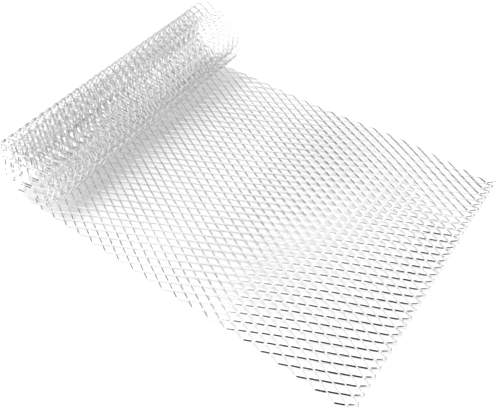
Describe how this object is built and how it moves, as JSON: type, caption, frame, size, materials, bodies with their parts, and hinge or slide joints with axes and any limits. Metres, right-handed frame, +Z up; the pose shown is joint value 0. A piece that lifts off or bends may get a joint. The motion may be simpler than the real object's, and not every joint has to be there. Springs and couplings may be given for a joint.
{
  "type": "expanded metal mesh sheet",
  "caption": "Sheet of expanded metal mesh with diamond openings, half laid out in shallow waves and half still wound in an open roll.",
  "frame": {"origin": "on the floor, under the middle of the part's box", "axes": "+X across the sheet and along the roll's axis, +Y along the sheet from its cut front edge to the roll, +Z up"},
  "size_m": [0.3296, 0.4522, 0.094],
  "materials": {
    "mesh": "bright mill finish, bare"
  },
  "bodies": {
    "root": {"laid_bay_1": "mesh", "laid_bay_2": "mesh", "laid_bay_3": "mesh", "laid_bay_4": "mesh", "roll": "mesh"}
  },
  "joints": []
}
